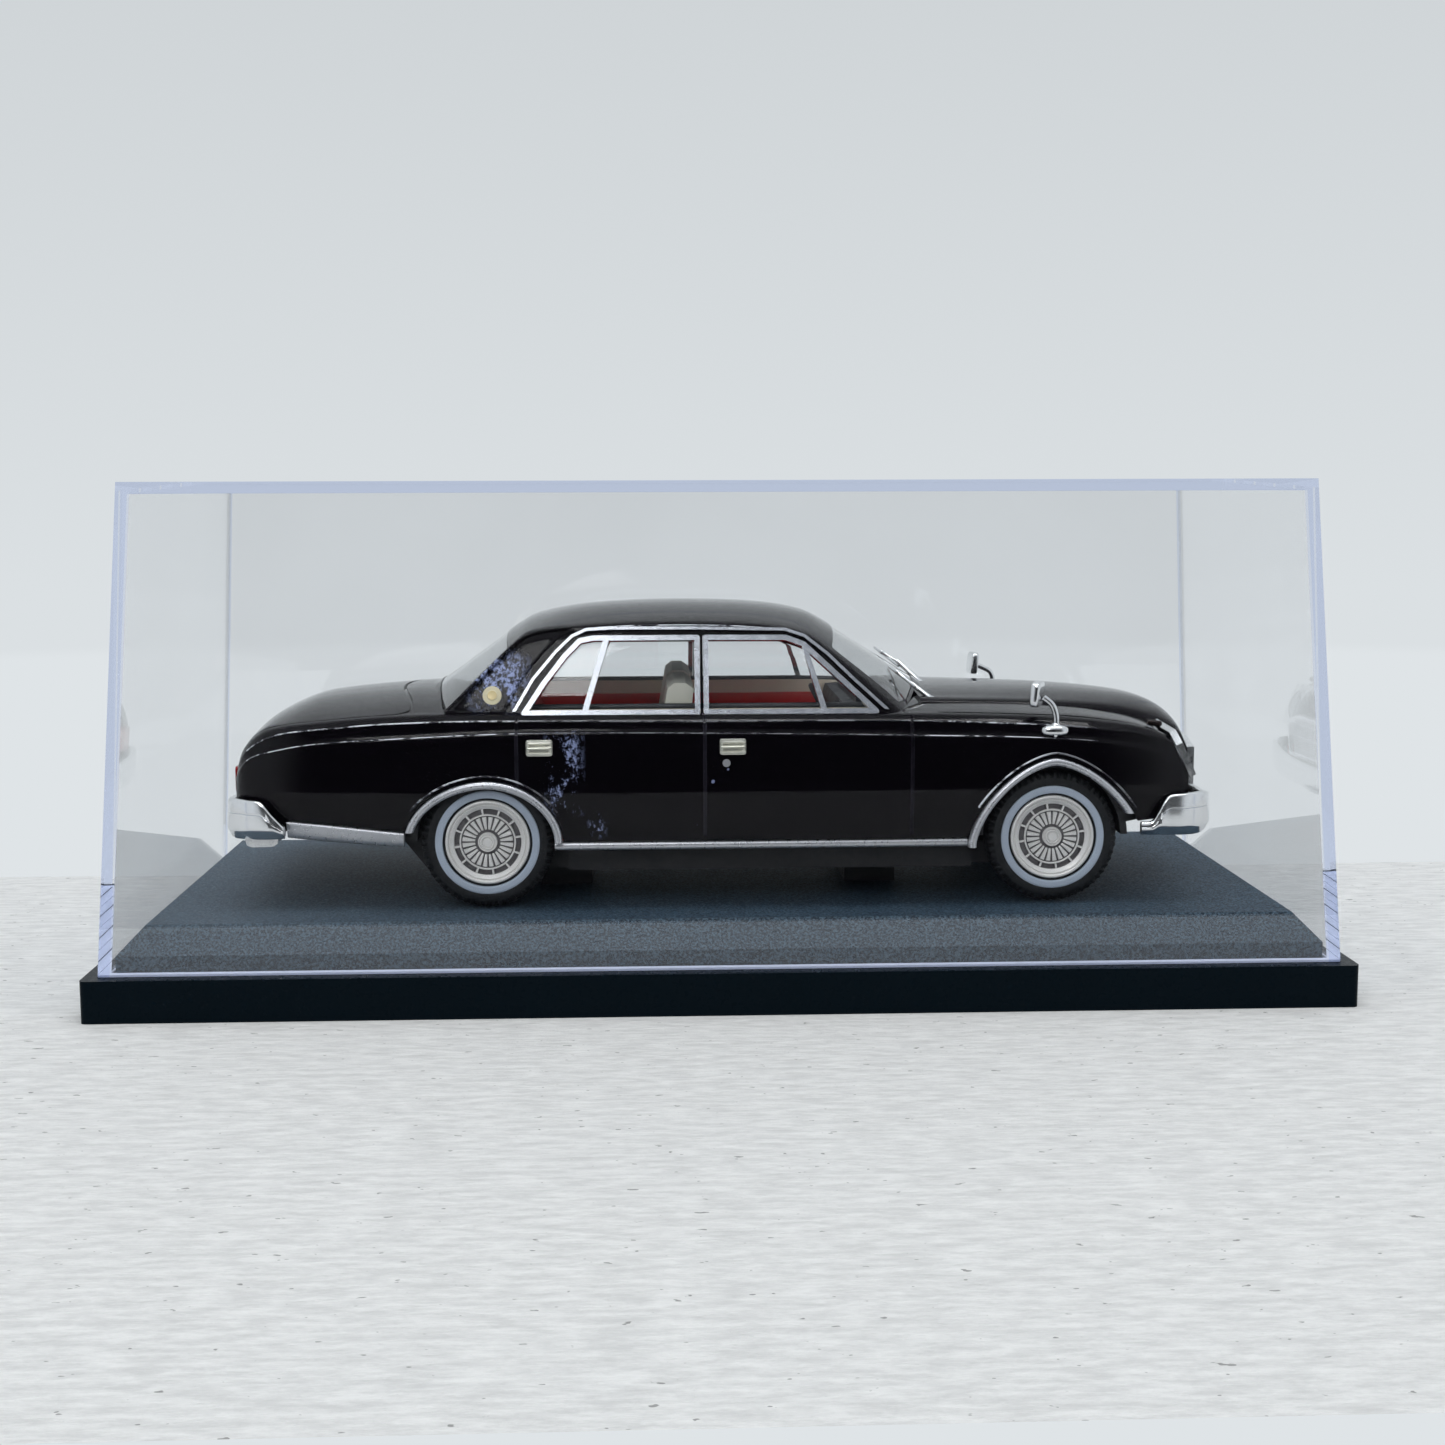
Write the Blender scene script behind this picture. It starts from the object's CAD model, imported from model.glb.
import math
from functools import reduce

import bmesh
import bpy
import numpy as np
from mathutils import Matrix, Vector


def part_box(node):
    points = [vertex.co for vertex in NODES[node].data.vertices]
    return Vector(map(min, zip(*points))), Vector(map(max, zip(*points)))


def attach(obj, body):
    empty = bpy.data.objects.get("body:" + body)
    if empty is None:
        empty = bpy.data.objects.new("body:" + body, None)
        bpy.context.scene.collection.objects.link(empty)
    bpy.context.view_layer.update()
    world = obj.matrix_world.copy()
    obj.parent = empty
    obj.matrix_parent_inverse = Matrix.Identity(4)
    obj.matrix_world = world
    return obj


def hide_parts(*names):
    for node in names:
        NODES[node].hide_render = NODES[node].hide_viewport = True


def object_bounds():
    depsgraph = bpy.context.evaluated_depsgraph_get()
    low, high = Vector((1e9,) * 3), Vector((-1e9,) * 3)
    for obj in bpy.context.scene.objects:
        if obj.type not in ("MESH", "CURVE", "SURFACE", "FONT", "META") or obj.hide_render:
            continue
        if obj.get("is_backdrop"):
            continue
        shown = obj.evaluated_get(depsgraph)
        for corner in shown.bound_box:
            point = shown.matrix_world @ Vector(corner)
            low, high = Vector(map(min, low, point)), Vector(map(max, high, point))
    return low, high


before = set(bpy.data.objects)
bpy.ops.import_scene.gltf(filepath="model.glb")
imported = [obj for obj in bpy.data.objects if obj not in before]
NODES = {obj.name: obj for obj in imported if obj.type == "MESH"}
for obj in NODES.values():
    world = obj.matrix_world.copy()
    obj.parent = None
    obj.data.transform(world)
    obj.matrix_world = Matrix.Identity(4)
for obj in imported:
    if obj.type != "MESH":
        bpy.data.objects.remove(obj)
AT_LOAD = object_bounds()
SCENE = bpy.context.scene

# ---- sizes, in millimetres, taken from the frame ----


def mm_box(node):
    lo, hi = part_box(node)
    return np.array(lo) * 1000, np.array(hi) * 1000


def middle(node):
    lo, hi = mm_box(node)
    return (lo + hi) / 2


def radius(node):
    """Half the height of a round piece."""
    lo, hi = mm_box(node)
    return (hi - lo)[2] / 2


MM = 0.001
AXLE_Z = middle("front_axle")[2]
FRONT_X = middle("front_axle")[0]
REAR_X = middle("rear_axle")[0]
AXLE_R = radius("front_axle")
TYRE_R = radius("tyre_front_right")
TYRE_IN, TYRE_OUT = sorted(abs(v[1]) for v in mm_box("tyre_front_right"))
WHITEWALL_R = radius("whitewalls_front")
RIM_R = radius("rim_front_right")
RIM_BACK, RIM_HUB = sorted(abs(v[1]) for v in mm_box("rim_front_right"))
RIM_FACE = RIM_HUB - 0.38
HANDLE_LO, HANDLE_HI = mm_box("door_handles")
COVER_LO, COVER_HI = mm_box("cover")
RIM_TOP = COVER_LO[2]

COVER_LEAN = 3.3 / 54.95    # how far the cover's sides lean in, over their height
COVER_WALL = 1.32           # a little more than its wall, where two walls meet
SKIN = 0.95                 # thickness of the body's wall
SEAT = 0.05                 # gap between pieces that seat in one another
ARCH_TRIM = 0.9             # width of an arch trim, its depth in the body, and how proud it stands
ARCH_DEEP = 1.15
TRIM_PROUD = 0.25
BELT = 14.9                 # foot of the windows: height, and distance from the middle
BELT_HALF = 19.4
TUMBLE = 16.2               # how far the cabin's sides lean in, in degrees
SHUT = 0.22                 # width and places of the doors' shut lines
SHUT_X = (-23.9, -2.1, 22.1)
FAR = 30                    # well outside the car, for cuts that go right across it
DISC_PLACE = (-26.8, 2.3)   # middle of the pillar's disc, in the plane of the cabin's side
DISC_CENTRE_R = 0.6

# ---- the body's lines, heights from the axle line ----

half_width = [
    [-57.2, 16.6], [-56.6, 17.6], [-55, 18.8], [-52.5, 19.7], [-48, 20.5], [-36, 21.45],
    [-20, 21.9], [10, 21.95], [30, 21.8], [42, 21.35], [50, 20.5], [54, 19.7], [55.4, 19.1]]
underside = [
    [-57.2, 2.9], [-54.6, 2.7], [-53.2, 1.9], [-52, 1.6], [-51.3, 2.3], [-50.6, 2.7], [-37, 1.4],
    [-28, 0.25], [-20, 0.2], [-10, 0.2], [28, 0.2], [44, 0.9], [49, 1.75], [55.4, 2.3]]
lower_crease = [
    [-57.2, 7.4], [-56.5, 8.6], [-55.1, 9.9], [-52.8, 10.7], [-47.5, 11.7], [-37, 12.4],
    [-23, 12.95], [-2.3, 12.85], [22, 12.4], [40.7, 11.75], [51.7, 10.25], [55.4, 8.6]]
upper_crease = [
    [-57.2, 8.2], [-56.5, 9.7], [-55.1, 11.2], [-52.9, 12.4], [-50.4, 13.05], [-44.7, 13.65],
    [-39, 14.1], [-28, 14.4], [-2.5, 14.25], [21.2, 14.15], [34.9, 13.65], [41.2, 13.25],
    [51.5, 11.85], [55.4, 9.8]]
shoulder = [
    [-57.2, 8.9], [-56.5, 10.6], [-55.1, 12.2], [-53, 13.4], [-45.8, 14.4], [-36.2, 15.1],
    [-24, 15.2], [21, 14.95], [37.1, 14.5], [45, 13.85], [51.7, 12.4], [55.4, 10.1]]
crown = [
    [-57.2, 9.6], [-56.4, 11.6], [-55.1, 13.1], [-53.4, 14.1], [-51.3, 15], [-49.2, 15.6],
    [-44.8, 16.15], [-39.8, 16.55], [-35, 16.8], [-20, 16.3], [22, 16.2], [30, 15.9],
    [38, 15.4], [46, 14.6], [52, 13.2], [55.4, 10.9]]
nose_half = [[22, 15], [37, 13], [50, 10.8], [55, 9.9], [57.9, 9.4]]
nose_edge = [
    [22, 15.8], [37.6, 15.2], [46, 14.6], [50, 14], [53, 13.2], [55.5, 12.2], [57, 11], [57.9, 9.3]]
nose_crown = [
    [22, 16.7], [38.5, 16.3], [45, 15.95], [51, 15.3], [54, 14.6], [56, 13.6], [57.3, 12.3], [57.9, 10.6]]
roof_edge = [
    [-36.5, 11], [-32.5, 14.8], [-24.5, 22.9], [-22.85, 24.2], [-20.5, 24.75], [-17.2, 24.95],
    [-9.5, 25.3], [0, 25.25], [5.9, 24.85], [9.4, 24.15], [11.8, 22.9], [21.7, 14.7], [27.2, 10]]
roof_crown = [
    [-36.5, 16.3], [-34.3, 17.5], [-26.2, 23.3], [-24.6, 24.4], [-22.6, 25.4], [-16.6, 26.6],
    [-8.4, 27.1], [0.5, 27.05], [6.4, 26.65], [11, 25.75], [13.4, 24.55], [15, 23.5], [24.2, 17.75],
    [27.2, 15.7]]
cabin_half = [
    [-36.5, 8], [-35.2, 14], [-33.6, 17.3], [-31.5, 19], [-28, 19.4], [18, 19.4], [20.5, 19.1],
    [22.3, 18], [24.3, 15.3], [26, 11], [27.2, 6]]
wing_front = [
    [52.4, 30], [52.4, 12.9], [53.6, 10.8], [54.75, 8.4], [55.4, 6.8], [55.4, 4.8], [53.4, 4.4],
    [52.2, 2.7], [51.2, 1.6], [48, 1.5], [48, -20], [70, -20], [70, 30]]
rear_door_window = [
    [-23.1, 0.15], [-20.8, 3.7], [-18.3, 7.0], [-16.6, 8.75], [-15, 9.05], [-2.85, 9.05], [-2.85, 0.15]]
front_door_window = [[-1.85, 0.15], [-1.85, 9.05], [7.6, 9.0], [9.7, 8.2], [18.1, 0.15]]
# Screens: x and height of the lower edge, angle of the glass, and half the outline, as distances
# across the car and up the glass
windscreen = [25, 17.2, 148, [[0, 0.9], [9, 1.4], [14, 2], [16.8, 3], [15.4, 12.2], [0, 11.8]]]
rear_screen = [-34.3, 17.5, 35.6, [[0, 0.7], [17.1, 0.4], [15.8, 9.8], [0, 9.2]]]
# Wheel openings: x and height of the middle, reach rearward and forward, rise, and squareness
rear_arch = [REAR_X, 0.2, TYRE_R + 1.85, TYRE_R + 1.05, TYRE_R - 0.55, 1.9]
front_arch = [FRONT_X, -0.75, TYRE_R + 2.45, TYRE_R + 3.1, TYRE_R + 2.55, 1.6]
# Bumpers: x, distance from the middle, and heights of the bar's lower and upper edge
front_bumper_stops = [
    [49.4, -21.2, 0.2, 1.8], [50.6, -21.2, 0.15, 1.9], [51.5, -21.2, 0.15, 3.1],
    [52.7, -21, 0.1, 4.85], [54.6, -20.8, 0.05, 5.1], [56.4, -20.2, 0.05, 5.2],
    [57.6, -19.3, 0.15, 5.2], [58.4, -17.8, 0.3, 4.9], [59, -14, 0.5, 4.5], [59.5, -8, 0.6, 4.3],
    [59.8, -2, 0.6, 4.3]]
rear_bumper_stops = [
    [-51, 21.15, 0.7, 2.2], [-52.3, 21.05, 0.6, 3.5], [-53.8, 20.8, 0.55, 5.05], [-55.2, 20.4, 0.5, 5.2],
    [-56.4, 19.8, 0.5, 5.3], [-57.6, 18.9, 0.5, 5.3], [-58.35, 16.6, 0.5, 5], [-58.6, 10, 0.6, 4.6],
    [-58.7, 3, 0.6, 4.5]]
rear_bumper_foot = [(-55.7, 0.75), (-51.8, 0.75), (-51.9, 0.1), (-52.4, -0.3), (-54.9, -0.35), (-55.5, -0.1)]


def curve(x, t):
    """Smooth curve through the points of a line, at x."""
    c = min(max(x, t[0][0]), t[-1][0])
    i = 0
    while i < len(t) - 2 and c >= t[i + 1][0]:
        i += 1

    def slope(k):
        a, b = max(k - 1, 0), min(k + 1, len(t) - 1)
        return (t[b][1] - t[a][1]) / (t[b][0] - t[a][0])

    h = t[i + 1][0] - t[i][0]
    s = (c - t[i][0]) / h
    return (t[i][1] * (1 + 2 * s) * (1 - s) ** 2 + slope(i) * h * s * (1 - s) ** 2
            + t[i + 1][1] * s * s * (3 - 2 * s) - slope(i + 1) * h * s * s * (1 - s))


def blend(p, q, s, t, u):
    return (t - u) / (t - s) * p + (u - s) / (t - s) * q


def spline(points, sub, corners=()):
    """Centripetal curve through the points, sharp at the corners."""
    pts = [np.array(p, float) for p in points]
    cuts = [0] + sorted(corners) + [len(pts) - 1]
    out = []
    for a, b in zip(cuts[:-1], cuts[1:]):
        seg = pts[a:b + 1]
        if len(seg) == 2:
            out.append(seg[0])
            continue
        ext = [2 * seg[0] - seg[1]] + seg + [2 * seg[-1] - seg[-2]]
        for k in range(1, len(ext) - 2):
            p0, p1, p2, p3 = ext[k - 1:k + 3]
            knots = [0.0]
            for p, q in ((p0, p1), (p1, p2), (p2, p3)):
                knots.append(knots[-1] + max(np.linalg.norm(q - p), 1e-6) ** 0.5)
            k0, k1, k2, k3 = knots
            for j in range(sub):
                u = k1 + (k2 - k1) * j / sub
                a1, a2, a3 = blend(p0, p1, k0, k1, u), blend(p1, p2, k1, k2, u), blend(p2, p3, k2, k3, u)
                out.append(blend(blend(a1, a2, k0, k2, u), blend(a2, a3, k1, k3, u), k1, k2, u))
    out.append(pts[-1])
    return out


def body_half(x, t=0.0, low=0.0):
    """Half the body's section at x, t inside its skin and with its foot lowered."""
    w = curve(x, half_width) - t
    zl = curve(x, lower_crease) - t * 0.3
    zu = curve(x, upper_crease) - t * 0.6
    zs = curve(x, shoulder) - t
    zc = curve(x, crown) - t
    foot = curve(x, underside) - low
    wide = min(6.4, zl - 1)
    ys = w - 3 + t * 0.4
    pts = [[0, foot], [w - 0.62, foot], [w - 0.2, (foot + low + wide) / 2 - low * 0.4],
           [w - 0.03, wide - 0.8], [w, wide + 0.6], [w - 0.06, zl - 0.5], [w - 0.16, zl],
           [w - 0.48, zl + 0.12], [w - 0.76, zu - 0.16], [w - 0.92, zu + 0.02],
           [w - 1.7, (zu + zs) / 2 + 0.18]]
    pts += [[ys * f, zs + (zc - zs) * (1 - f ** 2.2)] for f in (1, 0.86, 0.7, 0.5, 0.28, 0)]
    return spline(pts, 4, (1, 8, 9))


def nose_half_ring(x):
    w = curve(x, nose_half)
    ze = curve(x, nose_edge)
    zc = curve(x, nose_crown)
    low = 3.1
    pts = [[0, low], [w, low], [w + 0.12, ze - 1.2], [w - 0.12, ze - 0.35], [w - 0.6, ze + 0.1]]
    pts += [[w * f, ze + (zc - ze) * (1 - f ** 2.4)] for f in (0.8, 0.55, 0.28, 0)]
    return spline(pts, 4, (1,))


def cabin_half_ring(x, t=0.0, low=8.0):
    ze = max(curve(x, roof_edge), 12.2) - t
    zc = max(curve(x, roof_crown), ze + t + 0.1) - t
    yb = curve(x, cabin_half) - t
    lean = math.tan(math.radians(TUMBLE))
    ys = yb - max(ze - BELT, 0) * lean
    pts = [[0, low], [yb, low], [yb, min(BELT, ze - 1.1)], [ys + 0.9 * lean, ze - 0.9],
           [ys - 0.12, ze - 0.3], [ys - 0.55, ze]]
    pts += [[(ys - 0.2) * f, ze + (zc - ze) * (1 - f ** 2.1)] for f in (0.88, 0.7, 0.48, 0.25, 0)]
    return spline(pts, 4, (1, 2))


def spread(a, b, step, ends=()):
    """Even stops from a to b, with some more where the form turns quickly."""
    n = max(int(round((b - a) / step)), 1)
    xs = [a + (b - a) * i / n for i in range(n + 1)] + list(ends)
    return sorted(set(round(x, 3) for x in xs))


BODY_X = spread(-57.2, 55.4, 1.0, (-57.05, -56.8, -56.5, -56.0, -55.6, -55.1, -54.7, -54.1, -53.7))
NOSE_X = spread(24, 57.9, 0.8, (57.7, 57.4, 57.0, 56.6, 56.2))
CABIN_X = spread(-36.3, 27.1, 0.7)

# ---- meshes ----


def link(ob):
    SCENE.collection.objects.link(ob)
    return ob


def make(name, verts, faces, lift=AXLE_Z):
    """A closed mesh from millimetres, with its faces turned outward."""
    me = bpy.data.meshes.new(name)
    me.from_pydata([(v[0], v[1], v[2] + lift) for v in verts], [], faces)
    bm = bmesh.new()
    bm.from_mesh(me)
    bmesh.ops.recalc_face_normals(bm, faces=bm.faces)
    bm.to_mesh(me)
    bm.free()
    return link(bpy.data.objects.new(name, me))


def loft(name, rings, loop=False):
    """A skin over rings of points: closed at both ends, or with the last ring joined to the first."""
    m, n = len(rings[0]), len(rings)
    verts = [tuple(p) for r in rings for p in r]
    faces = []
    for i in range(n if loop else n - 1):
        here, after = i * m, (i + 1) % n * m
        faces += [(here + j, here + (j + 1) % m, after + (j + 1) % m, after + j) for j in range(m)]
    if not loop:
        faces += [tuple(range(m)), tuple((n - 1) * m + j for j in range(m))]
    return make(name, verts, faces)


def ring(x, half):
    right = [(x, p[0], p[1]) for p in half]
    left = [(x, -p[0], p[1]) for p in reversed(half) if p[0] > 0.01]
    return right + left


def body_loft(name, t=0.0, low=0.0):
    return loft(name, [ring(x, body_half(x, t, low)) for x in BODY_X])


def nose_loft(name):
    return loft(name, [ring(x, nose_half_ring(x)) for x in NOSE_X])


def cabin_loft(name, t=0.0, low=8.0):
    return loft(name, [ring(x, cabin_half_ring(x, t, low)) for x in CABIN_X])


def prism(name, lows, highs, lift=AXLE_Z):
    n = len(lows)
    faces = [tuple(range(n)), tuple(range(n, 2 * n))]
    faces += [(i, (i + 1) % n, n + (i + 1) % n, n + i) for i in range(n)]
    return make(name, list(lows) + list(highs), faces, lift)


def slab(name, outline, y0, y1, lift=AXLE_Z):
    """An outline in the side view, between two distances across the car."""
    return prism(name, [(x, y0, z) for x, z in outline], [(x, y1, z) for x, z in outline], lift)


def box_mesh(name, lo, hi, lift=AXLE_Z):
    outline = [(lo[0], lo[2]), (hi[0], lo[2]), (hi[0], hi[2]), (lo[0], hi[2])]
    return slab(name, outline, lo[1], hi[1], lift)


def hull2(points):
    """The convex outline round some points."""
    pts = sorted(set((round(p[0], 5), round(p[1], 5)) for p in points))

    def half(seq):
        out = []
        for p in seq:
            while len(out) > 1 and ((out[-1][0] - out[-2][0]) * (p[1] - out[-2][1])
                                    - (out[-1][1] - out[-2][1]) * (p[0] - out[-2][0])) <= 0:
                out.pop()
            out.append(p)
        return out

    a, b = half(pts), half(reversed(pts))
    return a[:-1] + b[:-1]


def grown(outline, r, n=24):
    """A convex outline made r larger, with round corners."""
    return hull2([(p[0] + r * math.cos(2 * math.pi * k / n), p[1] + r * math.sin(2 * math.pi * k / n))
                  for p in outline for k in range(n)])


def on_side(x, up, out, side=-1):
    """A point of the cabin's side, from a drawing in its plane."""
    a = math.radians(90 - TUMBLE)
    y = BELT_HALF - up * math.cos(a) + out * math.sin(a)
    return (x, side * y, BELT + up * math.sin(a) + out * math.cos(a))


def window_prism(name, outline, r, deep, proud, side):
    line = grown(outline, r)
    return prism(name, [on_side(p[0], p[1], -deep, side) for p in line],
                 [on_side(p[0], p[1], proud, side) for p in line])


def screen_prism(name, s, r, deep=5.5):
    a = math.radians(s[2])
    line = grown([(p[1], sd * p[0]) for p in s[3] for sd in (-1, 1)], r)

    def put(p, out):
        return (s[0] + p[0] * math.cos(a) - out * math.sin(a), p[1],
                s[1] + p[0] * math.sin(a) + out * math.cos(a))

    return prism(name, [put(p, -deep) for p in line], [put(p, deep) for p in line])


def arch_point(a, ang, g):
    """A point of a wheel opening's edge, g outside it."""
    c, s = math.cos(ang), math.sin(ang)
    reach = (a[2] if c < 0 else a[3]) + g
    x = a[0] + math.copysign(reach * abs(c) ** (2 / a[5]), c)
    return (x, a[1] + (a[4] + g) * max(s, 0) ** (2 / a[5]))


def arch_line(a, g, n=72):
    return [arch_point(a, min(max(math.pi * k / n, 1e-4), math.pi - 1e-4), g) for k in range(n + 1)]


def arch_opening(a, g):
    return [(a[0] + a[3] + g, a[1] - 8)] + arch_line(a, g) + [(a[0] - a[2] - g, a[1] - 8)]


def combine(ob, others, op):
    """One closed mesh from a boolean of closed meshes; the others are used up."""
    for o in others:
        mod = ob.modifiers.new("combine", "BOOLEAN")
        mod.operation = op
        mod.object = o
        mod.solver = "MANIFOLD"
        deps = bpy.context.evaluated_depsgraph_get()
        me = bpy.data.meshes.new_from_object(ob.evaluated_get(deps))
        ob.modifiers.clear()
        old = ob.data
        ob.data = me
        bpy.data.meshes.remove(old)
        data = o.data
        bpy.data.objects.remove(o)
        bpy.data.meshes.remove(data)
    return ob


def settle(ob, name, angle=32):
    """From millimetres to the frame's metres, smooth but for its real edges."""
    ob.name = name
    ob.data.name = name
    ob.data.transform(Matrix.Scale(MM, 4))
    ob.data.polygons.foreach_set("use_smooth", [True] * len(ob.data.polygons))
    ob.data.set_sharp_from_angle(angle=math.radians(angle))
    ob.data.update()
    return ob


def soften(ob, width, segments=2, angle=35):
    mod = ob.modifiers.new("soft_edges", "BEVEL")
    mod.width = width * MM
    mod.segments = segments
    mod.limit_method = "ANGLE"
    mod.angle_limit = math.radians(angle)
    mod.harden_normals = False


def smooth_cad(name, angle=32):
    me = NODES[name].data
    me.polygons.foreach_set("use_smooth", [True] * len(me.polygons))
    me.set_sharp_from_angle(angle=math.radians(angle))


# ---- materials ----


def lin(r, g, b):
    def f(c):
        c /= 255
        return c / 12.92 if c <= 0.04045 else ((c + 0.055) / 1.055) ** 2.4
    return (f(r), f(g), f(b), 1)


class Nodes:
    """Short words for building a node tree."""

    def __init__(self, tree):
        self.t = tree
        self.t.nodes.clear()

    def add(self, kind, **values):
        n = self.t.nodes.new(kind)
        for k, v in values.items():
            setattr(n, k, v)
        return n

    def link(self, a, b):
        self.t.links.new(a, b)

    def feed(self, socket, value):
        """Give a socket a plain value, or a link from another node."""
        if isinstance(value, (int, float, tuple)):
            socket.default_value = value
        else:
            self.link(value, socket)

    def math(self, op, a, b=None, clamp=False):
        n = self.add("ShaderNodeMath", operation=op, use_clamp=clamp)
        for socket, v in zip(n.inputs, (a, b)):
            if v is not None:
                self.feed(socket, v)
        return n.outputs[0]

    def times(self, *values):
        return reduce(lambda a, b: self.math("MULTIPLY", a, b), values)

    def most(self, *values):
        return reduce(lambda a, b: self.math("MAXIMUM", a, b), values)

    def noise(self, coord, scale, detail=3.0, rough=0.55, stretch=None):
        if stretch:
            m = self.add("ShaderNodeMapping")
            m.inputs["Scale"].default_value = stretch
            self.link(coord, m.inputs["Vector"])
            coord = m.outputs[0]
        n = self.add("ShaderNodeTexNoise")
        n.inputs["Scale"].default_value = scale
        n.inputs["Detail"].default_value = detail
        n.inputs["Roughness"].default_value = rough
        self.link(coord, n.inputs["Vector"])
        return n.outputs["Fac"]

    def band(self, v, lo, hi, a=0.0, b=1.0, smooth=True):
        n = self.add("ShaderNodeMapRange", interpolation_type="SMOOTHSTEP" if smooth else "LINEAR")
        for key, val in (("From Min", lo), ("From Max", hi), ("To Min", a), ("To Max", b)):
            n.inputs[key].default_value = val
        self.link(v, n.inputs["Value"])
        return n.outputs["Result"]

    def mix(self, fac, a, b):
        n = self.add("ShaderNodeMix", data_type="RGBA")
        for socket, v in zip([i for i in n.inputs if i.enabled], (fac, a, b)):
            self.feed(socket, v)
        return [o for o in n.outputs if o.enabled][0]

    def bump(self, height, strength, distance, bsdf):
        n = self.add("ShaderNodeBump")
        n.inputs["Strength"].default_value = strength
        n.inputs["Distance"].default_value = distance
        self.link(height, n.inputs["Height"])
        self.link(n.outputs[0], bsdf.inputs["Normal"])


def principled(name):
    """A new material with its node words, output, shader and object coordinates."""
    mat = bpy.data.materials.new(name)
    mat.use_nodes = True
    g = Nodes(mat.node_tree)
    out = g.add("ShaderNodeOutputMaterial").inputs["Surface"]
    bsdf = g.add("ShaderNodeBsdfPrincipled")
    g.link(bsdf.outputs[0], out)
    return mat, g, out, bsdf, g.add("ShaderNodeTexCoord").outputs["Object"]


def surface(name, color, rough, metal=0.0, grain=(900, 0.1), bump=(2500, 0.04, 0.00002), shade=0.25,
            spec=0.5, coat=0.0, extra=None):
    """A painted, plated or moulded finish: uneven gloss, faint grain, and shade from patch to patch."""
    mat, g, _, bsdf, co = principled(name)
    patch = g.noise(co, 140, 3)
    fine = g.noise(co, grain[0], 4)
    col = g.mix(patch, color, tuple(c * (1 - shade) for c in color[:3]) + (1,))
    r = g.band(fine, 0.3, 0.7, max(rough - grain[1], 0.02), min(rough + grain[1], 1), False)
    height = g.noise(co, bump[0], 3)
    if extra:
        col, r, height = extra(g, co, col, r, height)
    g.link(col, bsdf.inputs["Base Color"])
    g.link(r, bsdf.inputs["Roughness"])
    g.bump(height, bump[1], bump[2], bsdf)
    bsdf.inputs["Metallic"].default_value = metal
    bsdf.inputs["Specular IOR Level"].default_value = spec
    bsdf.inputs["Coat Weight"].default_value = coat
    bsdf.inputs["Coat Roughness"].default_value = 0.04
    return mat


def clear(name, color, rough=0.0, ior=1.49, tint=None):
    """Clear plastic that lets lamp light straight through."""
    mat, g, out, bsdf, co = principled(name)
    clearing = g.add("ShaderNodeBsdfTransparent")
    mix = g.add("ShaderNodeMixShader")
    g.link(g.add("ShaderNodeLightPath").outputs["Is Shadow Ray"], mix.inputs[0])
    g.link(bsdf.outputs[0], mix.inputs[1])
    g.link(clearing.outputs[0], mix.inputs[2])
    g.link(mix.outputs[0], out)
    clearing.inputs["Color"].default_value = (0.93, 0.95, 0.97, 1)
    smear = g.noise(co, 60, 4, 0.6)
    g.link(g.band(smear, 0.55, 0.8, rough, rough + 0.035), bsdf.inputs["Roughness"])
    col = g.mix(g.band(g.noise(co, 35, 2), 0.4, 0.7), color, tuple(c * 0.985 for c in color[:3]) + (1,))
    if tint:
        col = tint(g, co, col)
    g.link(col, bsdf.inputs["Base Color"])
    bsdf.inputs["IOR"].default_value = ior
    bsdf.inputs["Transmission Weight"].default_value = 1.0
    return mat


def xyz(g, co):
    s = g.add("ShaderNodeSeparateXYZ")
    g.link(co, s.inputs[0])
    return s.outputs


def side_patch(g, co, x0, x1, z0, z1, soft=1.2):
    """1 inside a soft rectangle of the right-hand side, in millimetres from the axle line."""
    X, Y, Z = xyz(g, co)

    def inside(v, lo, hi):
        return g.times(g.band(v, (lo - soft) * MM, (lo + soft) * MM),
                       g.band(v, (hi - soft) * MM, (hi + soft) * MM, 1, 0))

    return g.times(inside(X, x0, x1), inside(Z, AXLE_Z + z0, AXLE_Z + z1), g.math("LESS_THAN", Y, 0.0))


def paint_wear(g, co, col, r, height):
    """Rubbed marks on the rear door and the roof pillar, dust on the front door, rubbed shut lines."""
    marks = g.noise(co, 520, 6, 0.78, (1.0, 1.0, 0.55))
    fine = g.band(g.noise(co, 1900, 5, 0.72), 0.42, 0.56)
    door = g.most(side_patch(g, co, -20.2, -16.6, 3.8, 12.8, 0.8),
                  side_patch(g, co, -15.4, -13.9, 1.0, 3.4, 0.6))
    pillar = side_patch(g, co, -29.0, -23.2, 16.0, 21.5)
    worn = g.most(g.times(g.band(marks, 0.50, 0.56), fine, door),
                  g.times(g.band(marks, 0.46, 0.53), fine, pillar))
    dust = g.times(g.band(g.noise(co, 900, 1), 0.76, 0.79), side_patch(g, co, -4, 12, 1, 10.5), 0.6)
    pale = g.most(g.math("MULTIPLY", worn, 0.9, True), dust)
    col = g.mix(pale, col, lin(160, 172, 214))

    X, _, Z = xyz(g, co)
    gaps = [g.math("ABSOLUTE", g.math("SUBTRACT", X, x * MM)) for x in SHUT_X]
    nearest = reduce(lambda a, b: g.math("MINIMUM", a, b), gaps)
    tall = g.times(g.band(Z, (AXLE_Z + 0.6) * MM, (AXLE_Z + 1) * MM),
                   g.band(Z, (AXLE_Z + 14.6) * MM, (AXLE_Z + 14.9) * MM, 1, 0))
    rubbed = g.times(g.math("LESS_THAN", nearest, (SHUT / 2 + 0.1) * MM), tall,
                     g.band(g.noise(co, 300, 4, 0.7), 0.35, 0.6, 0.25, 1.0))
    col = g.mix(rubbed, col, lin(44, 42, 50))
    return col, g.math("ADD", r, g.times(pale, 0.45), True), height


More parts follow.
